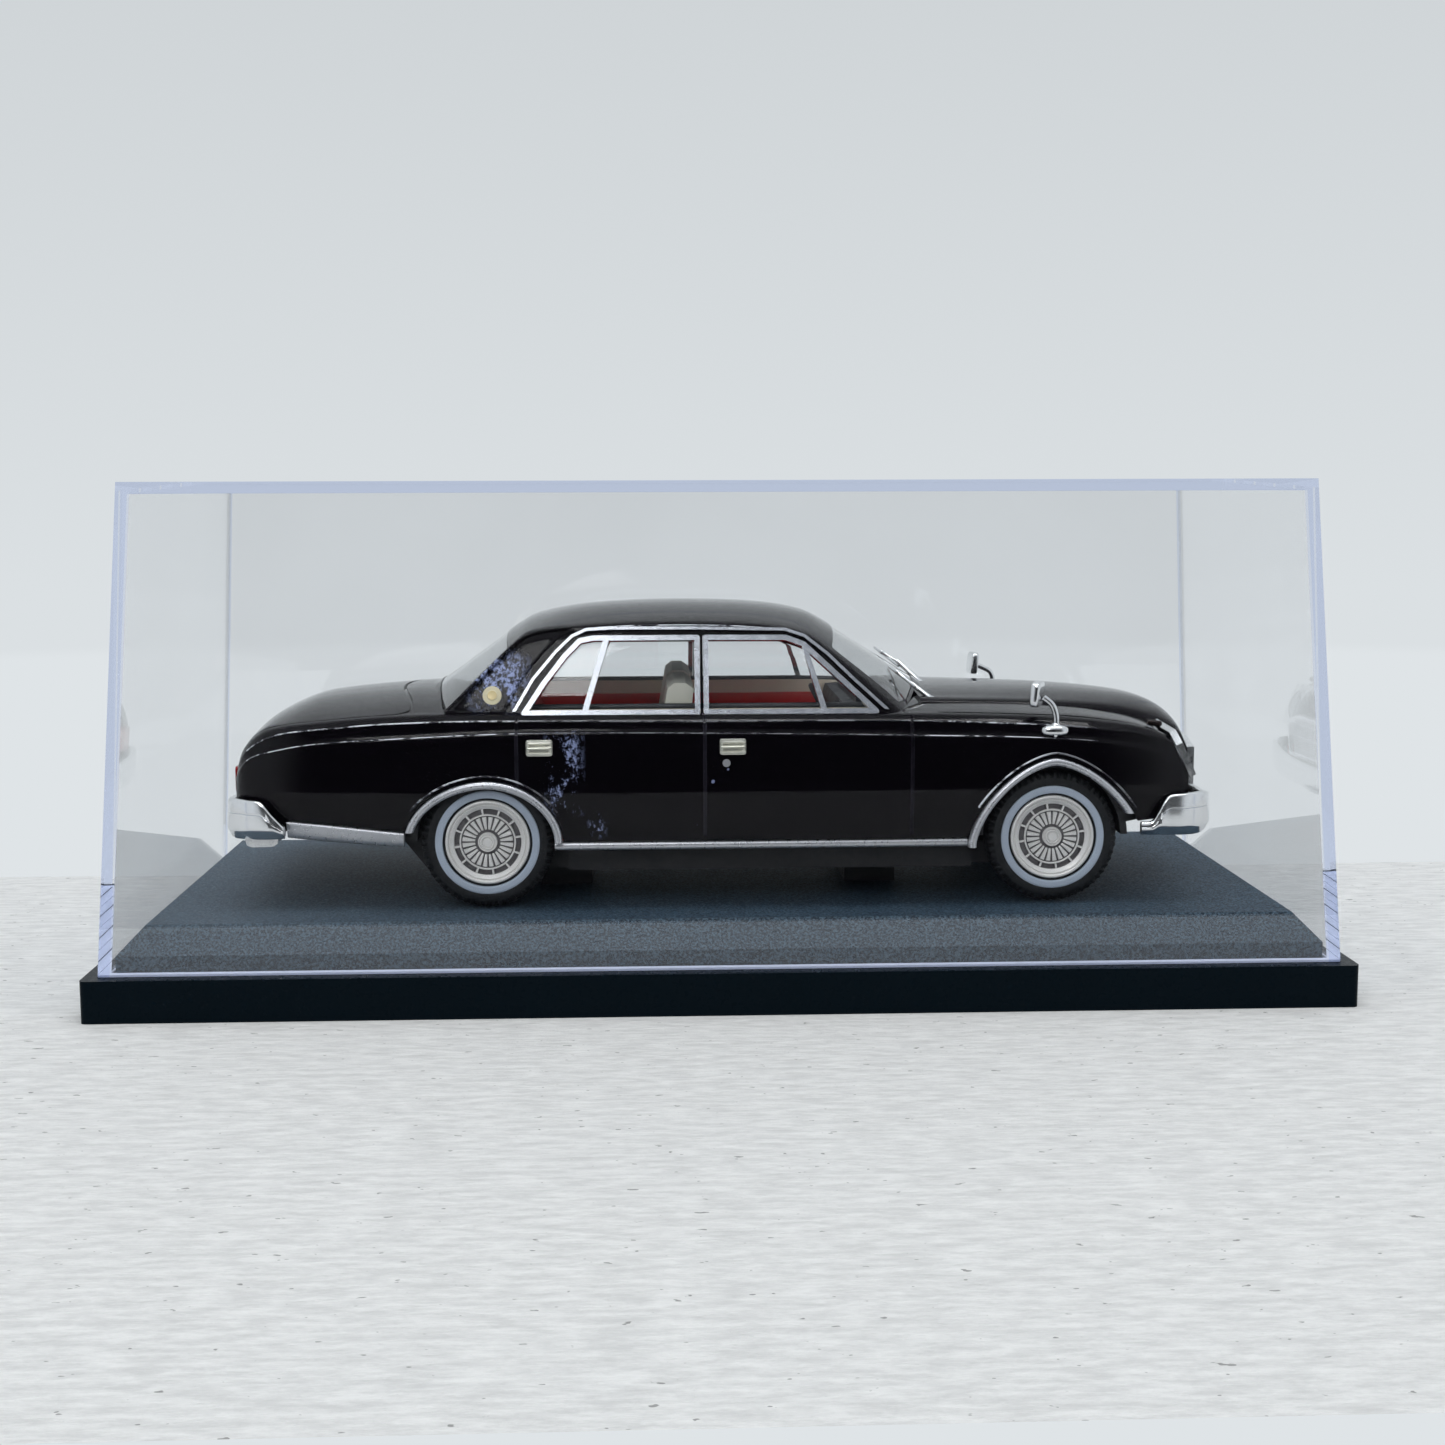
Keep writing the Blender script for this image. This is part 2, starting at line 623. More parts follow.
def edge_wear(g, co, col, r, height):
    """Paint rubbed pale along a proud edge: most at the tail, the front wing and the roof."""
    X, _, Z = xyz(g, co)
    tail = g.band(X, -0.026, -0.022, 1, 0)
    wing = g.times(g.band(X, 0.0225, 0.0245), g.band(X, 0.036, 0.040, 1, 0))
    roof = g.times(g.band(Z, (AXLE_Z + 22) * MM, (AXLE_Z + 22.5) * MM), 0.8)
    broken = g.band(g.noise(co, 620, 6, 0.8, (0.4, 1.0, 1.0)), 0.46, 0.53)
    pale = g.math("MULTIPLY", broken, g.math("ADD", 0.22, g.times(g.most(tail, wing, roof), 0.7)), True)
    col = g.mix(pale, lin(38, 36, 44), lin(232, 234, 240))
    return col, g.math("ADD", r, g.times(pale, 0.2), True), height


def rim_wash(g, co, col, r, height):
    """Dark wash in the recesses between the fins and the tabs of a wheel trim."""
    face = RIM_FACE * MM
    deep = g.band(g.math("ABSOLUTE", xyz(g, co)[1]), face - 0.00020, face - 0.00004, 1, 0)
    return g.mix(g.times(deep, 0.86), col, lin(58, 54, 60)), r, height


def cover_tint(g, co, col):
    """The moulding shows lilac where two of its walls meet and light runs along them."""
    X, Y, Z = xyz(g, co)
    half_x, half_y, top = [float(v) * MM for v in COVER_HI]
    lean = g.times(g.math("SUBTRACT", Z, float(COVER_LO[2]) * MM), COVER_LEAN)
    depths = [g.math("SUBTRACT", g.math("SUBTRACT", half, lean), g.math("ABSOLUTE", v))
              for half, v in ((half_x, X), (half_y, Y))] + [g.math("SUBTRACT", top, Z)]
    near = [g.math("LESS_THAN", d, COVER_WALL * MM) for d in depths]
    walls = reduce(lambda a, b: g.math("ADD", a, b), near)
    return g.mix(g.math("GREATER_THAN", walls, 1.5), col, (0.70, 0.755, 0.92, 1))


def plinth_grain(g, co, col, r, height):
    """Coarse grain, and a pale patch on the left of the upper face."""
    fine = g.noise(co, 3800, 3, 0.75)
    X, _, Z = xyz(g, co)
    pale = g.times(g.band(X, -0.07, -0.01, 0.35, 0), g.band(Z, 0.0090, 0.0099))
    col = g.mix(g.band(fine, 0.42, 0.62, 0, 0.75), col, lin(78, 100, 117))
    return g.mix(pale, col, lin(100, 110, 118)), r, fine


def tub_colours(g, co, col, r, height):
    """The tub's upper edge is cream."""
    high = g.band(xyz(g, co)[2], (AXLE_Z + 13.5) * MM, (AXLE_Z + 13.7) * MM)
    return g.mix(high, col, lin(236, 222, 198)), r, height


M = {
    "rim": surface("base_rim_plastic", lin(0, 14, 23), 0.3, grain=(1200, 0.08),
                   bump=(3000, 0.05, 0.00002), spec=0.07),
    "plinth": surface("plinth_plastic", lin(16, 32, 46), 0.6, grain=(4000, 0.12),
                      bump=(5200, 0.55, 0.00006), spec=0.3, extra=plinth_grain),
    "cover": clear("cover_plastic", (0.985, 0.99, 0.995, 1), tint=cover_tint),
    "glass": clear("window_plastic", (0.95, 0.965, 0.97, 1), 0.01),
    "lens": clear("lens_clear", (0.93, 0.95, 0.97, 1), 0.03),
    "frost": surface("cover_cut_edge", lin(214, 222, 246), 0.4, grain=(1500, 0.1),
                     bump=(2500, 0.1, 0.00003), shade=0.1),
    "steel": surface("screw_steel", (0.55, 0.55, 0.56, 1), 0.3, 1.0),
    "black": surface("black_plastic", lin(20, 20, 24), 0.55, grain=(1500, 0.1)),
    "silver": surface("silver_paint", lin(206, 207, 211), 0.3, 0.75, grain=(2500, 0.05),
                      bump=(3800, 0.08, 0.00002), shade=0.1),
    "paint": surface("body_paint", (0.0018, 0.0011, 0.0022, 1), 0.05, grain=(700, 0.02),
                     bump=(420, 0.05, 0.00004), spec=0.2, extra=paint_wear),
    "edges": surface("paint_edges", lin(14, 13, 18), 0.12, spec=0.3, shade=0.1, extra=edge_wear),
    "satin": surface("satin_chrome", lin(196, 199, 206), 0.2, 0.9, grain=(1500, 0.05),
                     bump=(1200, 0.04, 0.00002), shade=0.1),
    "plated": surface("plated_handles", lin(232, 231, 218), 0.2, 0.7, grain=(1500, 0.05),
                      bump=(1600, 0.08, 0.00002), shade=0.1),
    "red": surface("interior_red", lin(226, 34, 28), 0.6, grain=(1500, 0.1), bump=(3000, 0.3, 0.00004)),
    "tub": surface("interior_tub_plastic", lin(232, 34, 30), 0.6, grain=(1500, 0.1), extra=tub_colours),
    "cloth": surface("seat_cloth", lin(246, 240, 222), 0.8, grain=(2500, 0.08), bump=(6000, 0.5, 0.00005)),
    "dash": surface("dash_grey", lin(48, 46, 48), 0.55),
    "chrome": surface("chrome", (0.88, 0.89, 0.90, 1), 0.15, 1.0, grain=(1200, 0.05),
                      bump=(1400, 0.10, 0.00003), shade=0.08),
    "amber": surface("lens_amber", lin(34, 25, 24), 0.2, 0.2, spec=0.3),
    "lamp_red": surface("lens_red", lin(140, 12, 14), 0.15, coat=0.6),
    "cream": surface("disc_cream", lin(222, 212, 176), 0.4),
    "gold": surface("disc_centre", lin(198, 180, 132), 0.35, 0.2),
    "rimwheel": surface("rim_silver", lin(240, 238, 235), 0.36, 0.2, grain=(2200, 0.08),
                        bump=(3500, 0.12, 0.00002), shade=0.1, extra=rim_wash),
    "tyre": surface("tyre_rubber", lin(9, 12, 17), 0.65, grain=(1800, 0.12), bump=(2600, 0.4, 0.00006)),
    "white": surface("whitewall_paint", lin(186, 198, 214), 0.55, grain=(2200, 0.1),
                     bump=(2800, 0.3, 0.00004)),
}


def dress(ob, *keys):
    ob.data.materials.clear()
    for k in keys:
        ob.data.materials.append(M[k])


def finish(parts, name, key, node=None, body="base", angle=32):
    """Join a piece's parts, dress it, and say what it replaces, what carries it and its finish."""
    ob = combine(parts[0], parts[1:], "UNION")
    settle(ob, name, angle)
    dress(ob, key)
    if node:
        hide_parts(node)
    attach(ob, body)


# ---- pieces shown as the frame has them ----

for key, nodes in {
        "steel": ("mounting_screws", "front_axle", "rear_axle"), "black": ("chassis",),
        "silver": ("exhaust", "door_locks"), "tub": ("interior_tub",), "red": ("front_seats", "rear_seat"),
        "cloth": ("seat_covers",), "dash": ("dashboard", "steering_wheel"),
        "chrome": ("grille", "headlamp_bezels"),
        "lens": ("headlamp_lenses",), "amber": ("marker_lamps",), "lamp_red": ("tail_lamps",),
        "satin": ("window_frames_right", "window_frames_left", "drip_rails"), "cream": ("pillar_discs",),
        "white": ("whitewalls_front", "whitewalls_rear"), "cover": ("cover",)}.items():
    for node in nodes:
        dress(NODES[node], key)
        smooth_cad(node)

dress(NODES["base"], "rim", "plinth")
smooth_cad("base")
for poly in NODES["base"].data.polygons:
    poly.material_index = 1 if poly.center.z * 1000 > RIM_TOP + 0.05 else 0
NODES["pillar_discs"].data.materials.append(M["gold"])
disc_spots = [Vector(on_side(*DISC_PLACE, 0, side)) + Vector((0, 0, AXLE_Z)) for side in (-1, 1)]
for poly in NODES["pillar_discs"].data.polygons:
    reach = min((poly.center * 1000 - v).length for v in disc_spots)
    poly.material_index = 1 if reach < DISC_CENTRE_R else 0

soften(NODES["base"], 0.14)
soften(NODES["cover"], 0.16)
for node, width in (("front_seats", 0.7), ("rear_seat", 0.7), ("seat_covers", 0.15), ("dashboard", 0.25),
                    ("window_frames_right", 0.2), ("window_frames_left", 0.2), ("drip_rails", 0.14),
                    ("headlamp_bezels", 0.12), ("tail_lamps", 0.12)):
    soften(NODES[node], width, 3)

# ---- the car's body, made fine from its own lines ----


def groove(name, path, width=0.42, low=9.0, high=19.0):
    """A narrow upright wall along a path seen from above, to cut a shut line with."""
    left, right = [], []
    for i, p in enumerate(path):
        a, b = np.array(path[max(i - 1, 0)]), np.array(path[min(i + 1, len(path) - 1)])
        d = (b - a) / np.linalg.norm(b - a)
        n = np.array([-d[1], d[0]]) * width / 2
        left.append(np.array(p) + n)
        right.append(np.array(p) - n)
    line = left + right[::-1]
    return prism(name, [(p[0], p[1], low) for p in line], [(p[0], p[1], high) for p in line])


body = body_loft("shell")
combine(body, [slab("cut", wing_front, -FAR, FAR)], "DIFFERENCE")
combine(body, [nose_loft("nose"), cabin_loft("cabin")], "UNION")

# shut lines: three upright ones on each side, the bonnet's and the boot lid's
lines = [box_mesh("line", (x - SHUT / 2, -FAR, 0.8), (x + SHUT / 2, FAR, 14.7)) for x in SHUT_X]
cutter = combine(lines[0], lines[1:], "UNION")
shelf = 2.65                # from the body's side to the bonnet's and the boot lid's lines
bonnet = [(x, shelf - curve(x, half_width)) for x in (25.4, 29, 33, 37, 41, 45, 49, 51.9)]
bonnet_left = [(x, -y) for x, y in bonnet]
corner_x, corner_r = -38.4, 2
corner_y = curve(corner_x, half_width) - shelf - corner_r
boot = [(x, curve(x, half_width) - shelf) for x in (-56, -54, -52, -49, -46, -43, -40)]
boot += [(corner_x + corner_r * math.cos(a), corner_y + corner_r * math.sin(a))
         for a in [math.pi / 2 * k / 6 for k in range(6, 0, -1)]]
boot += [(-36.6, 14.5), (-37.2, 11.5), (-38.1, 7.5), (-38.8, 3.5), (-39, 0)]
boot += [(x, -y) for x, y in reversed(boot[:-1])]
combine(cutter, [groove("line", path) for path in (bonnet, bonnet_left, boot)], "UNION")
combine(cutter, [body_loft("inner", 0.3, 1)], "DIFFERENCE")

inner = body_loft("inner", SKIN, 12)
combine(inner, [cabin_loft("inner_cabin", SKIN, -12)], "UNION")
ends = [box_mesh("end", (x0, -FAR, -20), (x1, FAR, 40)) for x0, x1 in ((53.2, 73), (-70, -55.8))]
combine(inner, ends, "DIFFERENCE")
combine(body, [inner], "DIFFERENCE")
for side in (-1, 1):
    for arch in (rear_arch, front_arch):
        y0, y1 = sorted((side * 15, side * FAR))
        combine(body, [slab("cut", arch_opening(arch, 0.13), y0, y1)], "DIFFERENCE")
    for outline in (rear_door_window, front_door_window):
        combine(body, [window_prism("cut", outline, 0.3 + SEAT, 3, 2, side)], "DIFFERENCE")
combine(body, [screen_prism("cut", screen, 0.5) for screen in (windscreen, rear_screen)], "DIFFERENCE")
finish([combine(body, [cutter], "DIFFERENCE")], "car_body", "paint", "body_shell", angle=22)

# ---- glazing: panes that follow the roof and pillars ----


def pane(name, cut, outer_t, inner_t):
    p = combine(cabin_loft(name, outer_t), [cut], "INTERSECT")
    return combine(p, [cabin_loft("core", inner_t, 7.0)], "DIFFERENCE")


panes = [pane("pane", screen_prism("cut", screen, 0.44), 0.14, 0.62) for screen in (windscreen, rear_screen)]
for side in (-1, 1):
    for outline in (rear_door_window, front_door_window):
        panes.append(pane("pane", window_prism("cut", outline, 0.0, 3, 2, side), 0.72, 1.1))
finish(panes, "car_windows", "glass", "glazing", angle=30)

# ---- bumpers ----


def bumper(name, stops, node, foot=None):
    """A bumper bar along its stops, mirrored, with a crease at two thirds of its height."""
    path = spline(stops + [[x, -y, low, high] for x, y, low, high in reversed(stops)], 7)
    rings = []
    for i, p in enumerate(path):
        a, b = path[max(i - 1, 0)], path[min(i + 1, len(path) - 1)]
        d = np.array([b[1] - a[1], a[0] - b[0]])
        o = d / np.linalg.norm(d)
        low, high = p[2], p[3]
        tall = high - low
        tuck = min(0.36 * tall, 1.05)
        cut = 0.16 * min(max((tall - 3.4) / 1.2, 0), 1)
        line = low + 0.66 * tall
        section = [(-0.95, high - 0.5), (-0.8, high - 0.12), (-0.55, high), (-0.3, high - 0.03),
                   (-0.14, high - 0.2), (-0.1, high - 0.36), (-0.07, line + 0.14),
                   (-0.07 - cut, line + 0.07), (-0.07 - cut, line - 0.05),
                   (-0.03, line - 0.12), (0, low + tuck + 0.35), (-0.03, low + tuck + 0.08),
                   (-0.14, low + tuck - 0.06), (-0.5, low + 0.22), (-0.72, low + 0.03), (-0.95, low + 0.3)]
        rings.append([(p[0] + o[0] * c[0], p[1] + o[1] * c[0], c[1]) for c in section])
    parts = [loft(name, rings)]
    if foot:
        parts += [slab("foot", foot, side * 15, side * 19.9) for side in (-1, 1)]
    finish(parts, name, "chrome", node, angle=40)


bumper("front_bumper_bar", front_bumper_stops, "front_bumper")
bumper("rear_bumper_bar", rear_bumper_stops, "rear_bumper", rear_bumper_foot)

# ---- silver arch trims, as smooth bands ----


def even(line, n):
    """The same line with its points evenly spaced."""
    run = [0.0]
    for p, q in zip(line[:-1], line[1:]):
        run.append(run[-1] + math.hypot(q[0] - p[0], q[1] - p[1]))
    at = np.linspace(0, run[-1], n)
    return list(zip(*(np.interp(at, run, [p[k] for p in line]) for k in (0, 1))))


ROUND = (0, 0.03, 0.1, 0.2, 0.35, 0.5, 0.65, 0.8, 0.9, 0.97, 1)


def arch_band(name, a, foot_rear, foot_front, side, n=90):
    """A band round a wheel opening, with a rounded face, cut off level at its two feet."""
    def line(g):
        full = arch_opening(a, g)
        out = []
        for p, q in zip(full[:-1], full[1:]):
            fp = foot_front if p[0] > a[0] else foot_rear
            fq = foot_front if q[0] > a[0] else foot_rear
            if p[1] >= fp:
                out.append(p)
            if (p[1] >= fp) != (q[1] >= fq):
                f = fq if p[1] >= fp else fp
                s = (f - p[1]) / (q[1] - p[1])
                out.append((p[0] + (q[0] - p[0]) * s, f))
        return out

    y = curve(a[0], half_width)
    xr, xf = a[0] - a[2], a[0] + a[3]
    rise = (curve(xf, half_width) - curve(xr, half_width)) / (xf - xr)

    def put(p, d):
        return (p[0], side * (y + (p[0] - a[0]) * rise + d), p[1])

    tall = TRIM_PROUD + 0.16
    face = [(t, tall * math.sqrt(1 - (2 * t - 1) ** 2) - 0.16) for t in ROUND]
    rows = [[put(p, d) for p in even(line(-ARCH_TRIM * t), n)]
            for t, d in [(0, -ARCH_DEEP)] + face + [(1, -ARCH_DEEP)]]
    return loft(name, [[row[k] for row in rows] for k in range(n)])


for end, arch, feet in (("front", front_arch, (-0.85, 2.85)), ("rear", rear_arch, (1.45, 0.17))):
    bands = [arch_band("band", arch, *feet, side) for side in (-1, 1)]
    finish(bands, f"{end}_arch_bands", "silver", f"{end}_arch_trims", angle=40)

# ---- silver strips along the foot of the body ----


def side_strip(name, stops, shape, side):
    """A strip in the body's side; shape gives how far in it lies at each part of its height."""
    rings = []
    for x in spread(stops[0][0], stops[-1][0], 1.0):
        low, high = [np.interp(x, [p[0] for p in stops], [p[k] for p in stops]) for k in (1, 2)]
        w = curve(x, half_width)
        section = [(w - 1.9, low)] + [(w - d, low + (high - low) * t) for t, d in shape] + [(w - 1.9, high)]
        rings.append([(x, side * y, z) for y, z in section])
    return loft(name, rings)


half_round = [(t, 0.96 - 0.36 * math.sqrt(1 - (2 * t - 1) ** 2)) for t in ROUND]
tucked = [(0, 1.6), (0.04, 1.25), (0.12, 1.0), (0.3, 0.84), (0.6, 0.66), (0.8, 0.55), (0.87, 0.5),
          (0.93, 0.54), (0.98, 0.68), (1, 0.9)]
sill = [(REAR_X + rear_arch[3] - ARCH_TRIM, -0.85, 0.12), (FRONT_X - front_arch[2] - SEAT, -0.85, 0.12)]
rear_low = [(-50.9, 0.5, 2.6), (-47, 0.15, 2.3), (-42, -0.25, 1.8),
            (REAR_X - rear_arch[2] - SEAT, -0.55, 1.3)]
for place, stops, shape in (("sill", sill, half_round), ("rear_lower", rear_low, tucked)):
    strips = [side_strip("strip", stops, shape, side) for side in (-1, 1)]
    finish(strips, f"{place}_strips", "silver", f"{place}_trims", angle=50)

# ---- inside: padded tops of the door cards ----


def bar(name, path, r, n=14, squash=1.0):
    """A rod with round ends along a path."""
    pts = [np.array(p, float) for p in path]
    rings = []
    up = np.array([0.0, 0.0, 1.0])
    for i, p in enumerate(pts):
        d = pts[min(i + 1, len(pts) - 1)] - pts[max(i - 1, 0)]
        d /= np.linalg.norm(d)
        if abs(np.dot(d, up)) > 0.95:
            up = np.array([1.0, 0.0, 0.0])
        s = np.cross(d, up)
        s /= np.linalg.norm(s)
        t = np.cross(s, d)
        turns = [2 * math.pi * k / n for k in range(n)]
        rings.append([tuple(p + r * (math.cos(a) * s + squash * math.sin(a) * t)) for a in turns])
    return loft(name, rings)


top_y, top_z = 16.6, 15.42
tops = [bar("top", [(-25, side * top_y, top_z), (18.2, side * top_y, top_z)], 0.48, squash=0.8)
        for side in (-1, 1)]
finish(tops, "door_card_tops", "dash")

# ---- ridges of the panel on the roof pillar ----

ridges = []
for side in (-1, 1):
    for line in ([(-32.3, 0.3), (-28, 4.6), (-23.6, 8.85), (-21.6, 9.85), (-17.4, 10.3)],
                 [(-25.5, 0.3), (-23.4, 4.25), (-20.7, 7.65), (-18.7, 9.5), (-17.2, 10.15)],
                 [(-32.2, 0.3), (-25.4, 0.3)]):
        dense = spline(line, 5)
        ridges.append(bar("ridge", [on_side(p[0], p[1], 0.02, side) for p in dense], 0.22, 10))
finish(ridges, "pillar_panel_ridges", "paint", angle=40)

# ---- the cover's foot, where its cut edge turns white ----


def frame_ring(name, half_x, half_y, wall, z0, z1):
    """A rectangular ring lying flat, from its outer half sizes."""
    outer = box_mesh(name, (-half_x, -half_y, z0), (half_x, half_y, z1), 0)
    hole = box_mesh("hole", (wall - half_x, wall - half_y, z0 - 1), (half_x - wall, half_y - wall, z1 + 1), 0)
    return combine(outer, [hole], "DIFFERENCE")


FOOT_WALL, FOOT_LOW, FOOT_HIGH = 1.2, 0.03, 0.3
foot_edge = frame_ring("edge", COVER_HI[0] - SEAT, COVER_HI[1] - SEAT, FOOT_WALL,
                       RIM_TOP + FOOT_LOW, RIM_TOP + FOOT_HIGH)
finish([foot_edge], "cover_foot_edge", "frost", body="cover")

# ---- edges of the body where its paint is rubbed: lips over the wheel openings, and creases ----


def arch_lip(a, side, start=28, end=150, gap=0.62, r=0.13, steps=28):
    """A fine raised edge in the body above a wheel opening, between two angles."""
    path = []
    for k in range(steps + 1):
        x, z = arch_point(a, math.radians(start + (end - start) * k / steps), gap)
        path.append((x, side * (curve(x, half_width) - 0.06), z))
    return bar("lip", path, r, 8)


lips = [arch_lip(a, side) for side in (-1, 1) for a in (rear_arch, front_arch)]
finish(lips, "arch_lips", "edges", angle=60)

creases = []
for side in (-1, 1):
    path = []
    for x in spread(-15, 9, 1.0):
        top = curve(x, roof_edge)
        y = curve(x, cabin_half) - (top - BELT) * math.tan(math.radians(TUMBLE)) - 0.1
        path.append((x, side * y, top - 0.28))
    creases.append(bar("crease", path, 0.075, 8))
    for table, inset, rise in ((upper_crease, 0.85, -0.07), (lower_crease, 0.24, 0.0)):
        for a, b in ((-55.6, -24.1), (-23.7, -2.3), (-1.9, 21.9), (22.3, 44.0)):
            path = [(x, side * (curve(x, half_width) - inset), curve(x, table) + rise)
                    for x in spread(a, b, 1.0)]
            creases.append(bar("crease", path, 0.085, 8))
finish(creases, "body_crease_edges", "edges", angle=60)

# ---- wheels ----

FINS, TABS, TREADS = 24, 12, 56
TURN = 336


def turned(name, rings, x, side, loop=False):
    """A wheel's piece from rings of (radius, distance out), which may change with the angle."""
    rows = []
    for at in rings:
        row = []
        for a in [2 * math.pi * k / TURN for k in range(TURN)]:
            r, out = at(a) if callable(at) else at
            row.append((x + r * math.cos(a), side * out, r * math.sin(a)))
        rows.append(row)
    return loft(name, rows, loop)


def fin(r, low, high):
    """Height of a ring through the fins: broad crowned tops with narrow gaps."""
    def at(a):
        u = abs((a * FINS / (2 * math.pi)) % 1 - 0.5) * 2
        top = min(max((0.82 - u) / 0.2, 0), 1)
        return (r, RIM_FACE + low + (high - low - 0.07 * u * u) * top)
    return at


def tab(r, low, high):
    """A ring through the tabs, with narrow raised places."""
    def at(a):
        u = abs((a * TABS / (2 * math.pi) + 0.2) % 1 - 0.5) * 2
        return (r, RIM_FACE + (high if u < 0.13 else low))
    return at


def tread(r, out):
    """A ring of the tyre's shoulder, cut by notches."""
    return lambda a: (r - (0.26 if (a * TREADS / (2 * math.pi)) % 1 < 0.42 else 0), out)


def rim_rings():
    """The trim from its middle outward: hub rings, fins, tabs and edge, and then its back."""
    f, b = RIM_FACE, RIM_BACK
    hub = [(0.03, 0.34), (0.3, 0.34), (0.5, 0.3), (0.55, 0.14), (0.64, 0.14), (0.68, 0.32), (0.74, 0.36),
           (0.84, 0.3), (0.87, 0.18), (0.93, 0.18), (0.97, 0.38), (1.07, 0.37), (1.13, 0.26),
           (1.15, -0.25), (1.42, -0.25)]
    step = [(3.02, -0.25), (3.08, -0.25), (3.1, 0.04), (3.16, 0.1), (3.26, 0.08), (3.3, 0)]
    edge = [(3.92, -0.08), (3.98, -0.02), (4.06, 0.04), (4.36, 0.2), (4.42, 0.19), (4.45, 0.08),
            (4.52, 0.08), (4.56, 0.26), (4.66, 0.36), (4.8, 0.38), (4.9, 0.33), (RIM_R, 0.22)]
    fins = [(1.5, -0.02), (1.62, 0.05), (2.2, 0.1), (2.8, 0.12), (2.93, 0.08), (2.98, -0.1)]
    return ([(r, f + z) for r, z in hub] + [fin(r, -0.25, z) for r, z in fins]
            + [(r, f + z) for r, z in step]
            + [tab(3.33, -0.45, 0.0), tab(3.6, -0.5, 0.04), tab(3.86, -0.45, 0.0)]
            + [(r, f + z) for r, z in edge]
            + [(RIM_R, b), (RIM_R - 0.5, b), (RIM_R - 0.5, b + 1), (AXLE_R + SEAT, b + 1),
               (AXLE_R + SEAT, b + 1.9), (0.03, b + 1.9)])


def tyre_rings():
    """The tyre from its bore: back, tread with three grooves, shoulder, and the white wall's seat."""
    r, b, t = TYRE_R, TYRE_IN, TYRE_OUT
    bore, wall = RIM_R + SEAT, WHITEWALL_R + SEAT
    rings = [(bore, b), (r - 1, b), tread(r - 0.25, b + 0.35), tread(r, b + 0.8)]
    for i in range(3):
        g = b + 1.2 + 0.5 * i
        rings += [(r, g), (r - 0.2, g + 0.05), (r - 0.2, g + 0.15), (r, g + 0.2)]
    rings += [tread(r, t - 0.95), tread(r - 0.02, t - 0.7), tread(r - 0.16, t - 0.42),
              tread(r - 0.38, t - 0.26), (r - 0.75, t - 0.1), (r - 1, t - 0.02), (wall + 0.2, t),
              (wall, t - 0.03), (wall, t - 0.4), (bore + 0.2, t - 0.4), (bore + 0.2, t - 0.25),
              (bore, t - 0.25)]
    return rings


for end, x in (("front", FRONT_X), ("rear", REAR_X)):
    for side, hand in ((-1, "right"), (1, "left")):
        for kind, rings, key, slot in (("rim", rim_rings(), "rimwheel", "rim_silver"),
                                       ("tyre", tyre_rings(), "tyre", "tyre_rubber")):
            piece = turned(kind, rings, x, side, kind == "tyre")
            finish([piece], f"{kind}_fine_{end}_{hand}", key, f"{kind}_{end}_{hand}",
                   f"{end}_wheels", 30)

# ---- door handles, mirrors and wipers ----


def blob(name, centre, radii, square=1.0, turn=0.0, tilt=0.0, n=20):
    """A rounded form between an egg and a box, as square falls from 1."""
    def power(v):
        return math.copysign(abs(v) ** square, v)

    rings = []
    spin = Matrix.Rotation(math.radians(turn), 3, "Z") @ Matrix.Rotation(math.radians(tilt), 3, "Y")
    for i in range(1, n):
        lat = math.pi * i / n - math.pi / 2
        flat, z = power(math.cos(lat)), radii[2] * power(math.sin(lat))
        spots = [(radii[0] * flat * power(math.cos(lon)), radii[1] * flat * power(math.sin(lon)), z)
                 for lon in [math.pi * k / n for k in range(2 * n)]]
        rings.append([Vector(centre) + spin @ Vector(p) for p in spots])
    return loft(name, rings)


HANDLE_L, HANDLE_H = 3.3, HANDLE_HI[2] - HANDLE_LO[2]
HANDLE_ROOT = 21.45         # how far from the middle its back lies


def handle_height(u, v):
    """Relief of a handle: a rounded rim, a dished middle and a grip bar across it."""
    def inside(gap, r):
        dx = abs(u - HANDLE_L / 2) - (HANDLE_L / 2 - gap - r)
        dz = abs(v - HANDLE_H / 2) - (HANDLE_H / 2 - gap - r)
        return r - math.hypot(max(dx, 0), max(dz, 0)) - min(max(dx, dz), 0)

    def ease(t):
        t = min(max(t, 0), 1)
        return t * t * (3 - 2 * t)

    rim = 0.74 * ease(inside(0, 0.4) / 0.16)
    dish = 0.2 * ease(inside(0.3, 0.3) / 0.2)
    out = rim - dish
    for mid, half, top in ((1.62, 0.2, 0.78), (1.05, 0.17, 0.9), (0.42, 0.14, 0.8)):
        w = abs(v - mid - 0.05 * (u / HANDLE_L - 0.5)) / half
        if w < 1:
            bar_top = 0.5 + (top - 0.5) * math.sqrt(1 - w * w) * ease(inside(0.12, 0.3) / 0.25)
            out = max(out, bar_top if rim > 0.5 else out)
    return out


